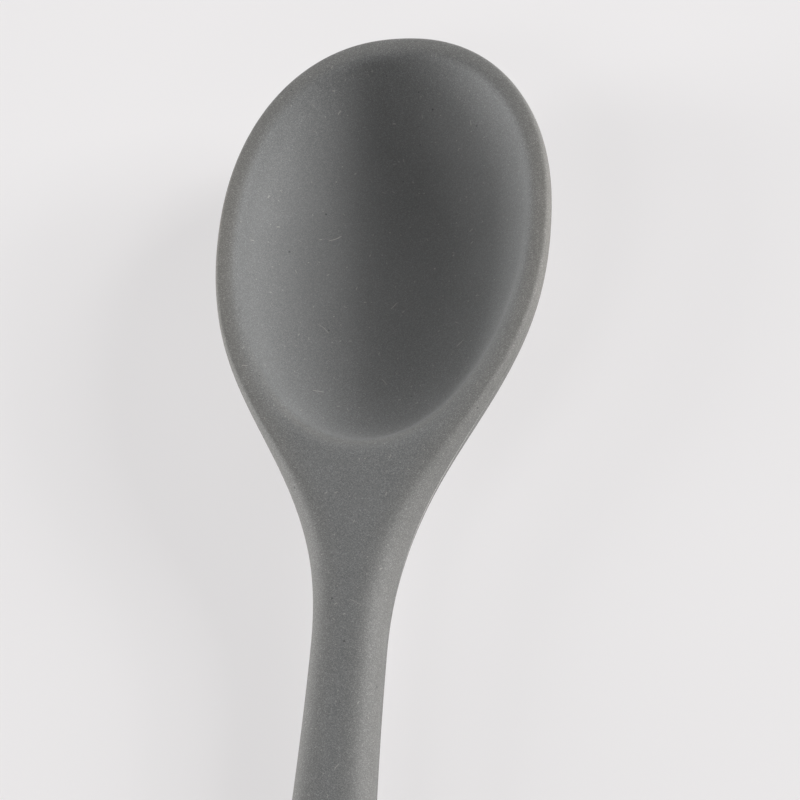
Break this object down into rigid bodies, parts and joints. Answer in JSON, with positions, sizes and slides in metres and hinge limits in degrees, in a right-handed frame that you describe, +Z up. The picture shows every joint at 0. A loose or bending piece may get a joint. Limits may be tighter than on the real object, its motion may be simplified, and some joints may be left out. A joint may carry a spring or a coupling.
{
  "type": "silicone basting spoon",
  "caption": "Deep egg-shaped serving and basting spoon with a soft bead rim, flat flared neck and oval handle with a hang hole, silicone over a stiff core.",
  "frame": {"origin": "on the table under the middle of the spoon, which lies on its back", "axes": "+Y from the end of the handle to the tip of the bowl, +Z up out of the bowl, +X to the right across the bowl"},
  "size_m": [0.066, 0.2852, 0.022],
  "materials": {
    "grey_silicone": "matte, fine speckled grain",
    "natural_nylon": "satin, as moulded",
    "stainless_steel": "brushed along the bar"
  },
  "bodies": {
    "root": {"silicone_skin": "grey_silicone", "nylon_core": "natural_nylon", "steel_bar": "stainless_steel"}
  },
  "joints": []
}
